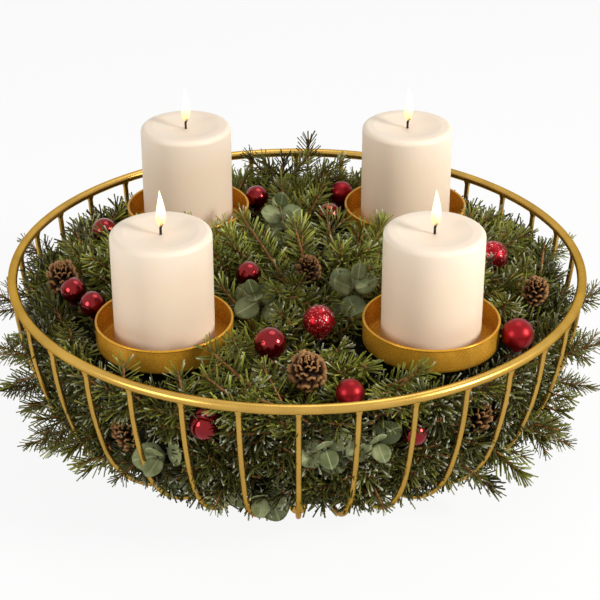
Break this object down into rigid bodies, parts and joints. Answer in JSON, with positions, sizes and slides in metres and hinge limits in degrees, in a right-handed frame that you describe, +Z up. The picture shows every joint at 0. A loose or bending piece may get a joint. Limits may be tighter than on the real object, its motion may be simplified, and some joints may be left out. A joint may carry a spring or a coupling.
{
  "type": "advent candle holder",
  "caption": "Round gold wire bowl on ball feet with raised candle cups on stems, pillar candles that lift off their spikes, and a filling of fir, cones, red baubles and eucalyptus.",
  "frame": {"origin": "on the floor, at the middle of the base ring", "axes": "+Z up, the front of the bowl faces -Y, +X to the right seen from the front"},
  "size_m": [0.4516, 0.427, 0.2488],
  "materials": {
    "gold_paint": "satin gold paint on steel wire and sheet",
    "steel": "plain drawn wire",
    "wax": "ivory wax, slightly translucent",
    "wick": "burnt cotton braid",
    "flame": "candle flame",
    "fir_bed": "packed fir cuttings and moss",
    "fir_needles": "fir needles on brown twigs",
    "pine_cone": "dry open scales with paler tips",
    "eucalyptus": "waxy grey-green leaves",
    "bauble_shiny": "glossy metallic red",
    "bauble_matte": "satin red",
    "bauble_glitter": "red glitter"
  },
  "bodies": {
    "basket": {"top_ring": "gold_paint", "base_ring": "gold_paint", "ribs": "gold_paint", "ball_feet": "gold_paint", "stem_front_left": "gold_paint", "cup_front_left": "gold_paint", "stem_front_right": "gold_paint", "cup_front_right": "gold_paint", "stem_back_left": "gold_paint", "cup_back_left": "gold_paint", "stem_back_right": "gold_paint", "cup_back_right": "gold_paint", "candle_spikes": "steel", "bauble_01": "bauble_shiny", "bauble_02": "bauble_shiny", "bauble_03": "bauble_shiny", "bauble_04": "bauble_shiny", "bauble_05": "bauble_shiny", "bauble_06": "bauble_matte", "bauble_07": "bauble_shiny", "bauble_08": "bauble_shiny", "bauble_09": "bauble_glitter", "bauble_10": "bauble_matte", "bauble_11": "bauble_matte", "bauble_12": "bauble_glitter", "bauble_13": "bauble_shiny", "bauble_14": "bauble_shiny", "bauble_picks": "steel", "cone_picks": "steel", "pine_cone_1": "pine_cone", "pine_cone_2": "pine_cone", "pine_cone_3": "pine_cone", "pine_cone_4": "pine_cone", "pine_cone_5": "pine_cone", "pine_cone_6": "pine_cone", "eucalyptus_1": "eucalyptus", "eucalyptus_2": "eucalyptus", "eucalyptus_3": "eucalyptus", "eucalyptus_4": "eucalyptus", "eucalyptus_5": "eucalyptus", "eucalyptus_6": "eucalyptus", "eucalyptus_7": "eucalyptus", "fir_tips_outer": "fir_needles", "fir_tips_top": "fir_needles", "fir_bed": "fir_bed"},
    "front_left_candle": {"candle_front_left": "wax", "wick_front_left": "wick", "flame_front_left": "flame"},
    "front_right_candle": {"candle_front_right": "wax", "wick_front_right": "wick", "flame_front_right": "flame"},
    "back_left_candle": {"candle_back_left": "wax", "wick_back_left": "wick", "flame_back_left": "flame"},
    "back_right_candle": {"candle_back_right": "wax", "wick_back_right": "wick", "flame_back_right": "flame"}
  },
  "joints": [
    {"name": "lift_front_left", "type": "slide", "parent": "basket", "child": "front_left_candle", "axis": [0, 0, 1], "range_m": [0, 0.09]},
    {"name": "lift_front_right", "type": "slide", "parent": "basket", "child": "front_right_candle", "axis": [0, 0, 1], "range_m": [0, 0.09]},
    {"name": "lift_back_left", "type": "slide", "parent": "basket", "child": "back_left_candle", "axis": [0, 0, 1], "range_m": [0, 0.09]},
    {"name": "lift_back_right", "type": "slide", "parent": "basket", "child": "back_right_candle", "axis": [0, 0, 1], "range_m": [0, 0.09]}
  ]
}
